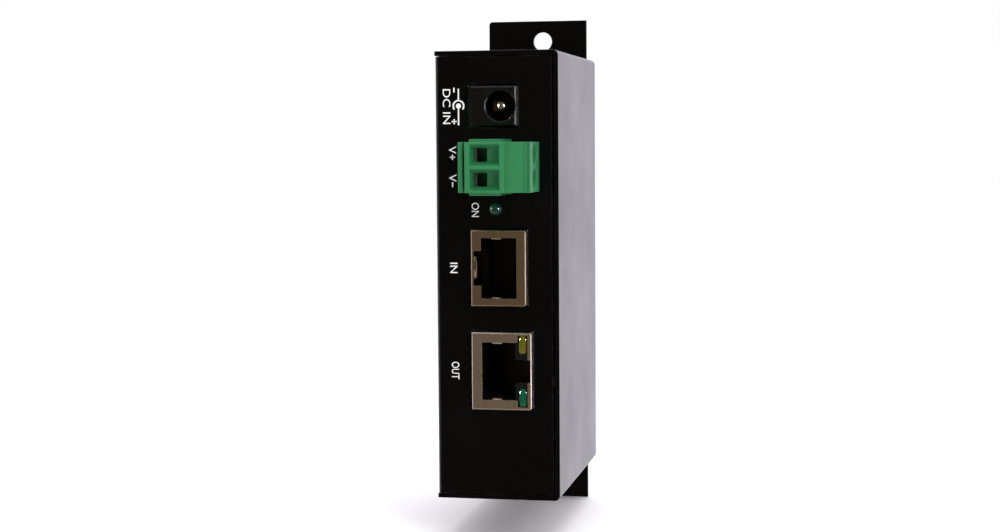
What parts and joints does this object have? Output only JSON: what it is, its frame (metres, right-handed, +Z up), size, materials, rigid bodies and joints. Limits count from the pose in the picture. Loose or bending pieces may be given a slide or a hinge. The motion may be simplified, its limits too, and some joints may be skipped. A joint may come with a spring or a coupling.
{
  "type": "power over ethernet injector",
  "caption": "Narrow folded-steel power injector: DC jack, pluggable terminal block, lamp and shielded network jacks in front, wall ears and a sprung rail clip behind.",
  "frame": {"origin": "middle of the two wall holes, on the rear face of the rear panel", "axes": "+X to the right seen from the front, +Y out of the rear face towards the wall, +Z up"},
  "size_m": [0.0264, 0.0806, 0.1138],
  "materials": {
    "black_coated_steel": "fine textured powder coat",
    "blackened_screw": "black plated",
    "zinc_plated_steel": "bright zinc",
    "board_laminate": "solder mask over glass laminate",
    "black_plastic": "moulded",
    "dark_plastic": "moulded",
    "green_plastic": "moulded",
    "nickel_plated_brass": "nickel plated",
    "tinned_brass": "tinned",
    "tinned_wire": "tinned",
    "nickel_plated_shield": "nickel plated sheet",
    "gold_plated_wire": "gold plated",
    "green_lamp": "clear tinted epoxy",
    "yellow_lamp": "clear tinted epoxy",
    "spring_steel": "drawn wire",
    "capacitor_sleeve": "shrunk sleeve over an aluminium can",
    "ferrite": "sintered",
    "copper_wire": "enamelled copper",
    "white_ceramic": "glazed ends",
    "tan_ceramic": "fired"
  },
  "bodies": {
    "box": {"base_chassis": "black_coated_steel", "cover": "black_coated_steel", "cover_screws": "blackened_screw", "circuit_board": "board_laminate", "standoffs": "zinc_plated_steel", "board_screws": "zinc_plated_steel", "dc_jack_body": "black_plastic", "dc_jack_pin": "nickel_plated_brass", "dc_jack_spring": "nickel_plated_brass", "header_body": "green_plastic", "header_pins": "tinned_brass", "power_led": "green_lamp", "led_leads": "tinned_wire", "led_holder": "black_plastic", "lan_jack_shield": "nickel_plated_shield", "lan_jack_housing": "dark_plastic", "lan_jack_contacts": "gold_plated_wire", "poe_jack_shield": "nickel_plated_shield", "poe_jack_housing": "dark_plastic", "poe_jack_contacts": "gold_plated_wire", "poe_led_yellow": "yellow_lamp", "poe_led_green": "green_lamp", "rail_clip_body": "dark_plastic", "rail_clip_spring": "spring_steel", "rail_clip_screws": "zinc_plated_steel", "input_capacitor": "capacitor_sleeve", "output_capacitor": "capacitor_sleeve", "transformer_core": "ferrite", "transformer_bobbin": "black_plastic", "transformer_winding": "copper_wire", "data_magnetics": "black_plastic", "magnetics_leads": "tinned_wire", "controller_chip": "black_plastic", "controller_leads": "tinned_wire", "power_transistor": "black_plastic", "rectifier_diode": "black_plastic", "input_fuse": "white_ceramic", "chip_resistors": "black_plastic", "chip_capacitors": "tan_ceramic"},
    "plug": {"plug_housing": "green_plastic", "plug_contacts": "tinned_brass"},
    "clamp_screw_1": {"clamp_screw_1": "zinc_plated_steel"},
    "clamp_screw_2": {"clamp_screw_2": "zinc_plated_steel"},
    "clamp_cage_1": {"clamp_cage_1": "zinc_plated_steel"},
    "clamp_cage_2": {"clamp_cage_2": "zinc_plated_steel"},
    "latch": {"rail_clip_latch": "dark_plastic"}
  },
  "joints": [
    {"name": "plug_slide", "type": "slide", "parent": "box", "child": "plug", "axis": [0, -1, 0], "range_m": [0, 0.015]},
    {"name": "clamp_screw_1_turn", "type": "hinge", "parent": "plug", "child": "clamp_screw_1", "pos_m": [0.0052, -0.0594, 0.02569], "axis": [-1, 0, 0], "range_deg": [0, 1590]},
    {"name": "clamp_cage_1_climb", "type": "slide", "parent": "plug", "child": "clamp_cage_1", "axis": [1, 0, 0], "range_m": [0, 0.0022]},
    {"name": "clamp_screw_2_turn", "type": "hinge", "parent": "plug", "child": "clamp_screw_2", "pos_m": [0.0052, -0.0594, 0.02061], "axis": [-1, 0, 0], "range_deg": [0, 1590]},
    {"name": "clamp_cage_2_climb", "type": "slide", "parent": "plug", "child": "clamp_cage_2", "axis": [1, 0, 0], "range_m": [0, 0.0022]},
    {"name": "latch_slide", "type": "slide", "parent": "box", "child": "latch", "axis": [0, 0, -1], "range_m": [0, 0.0035], "stiffness_N_per_m": 650, "springref_m": -0.003, "deforming": ["rail_clip_spring"]}
  ],
  "couplings": [
    {"joint": "clamp_screw_1_turn", "follows": "clamp_cage_1_climb", "rad_per_m": 12566},
    {"joint": "clamp_screw_2_turn", "follows": "clamp_cage_2_climb", "rad_per_m": 12566}
  ]
}
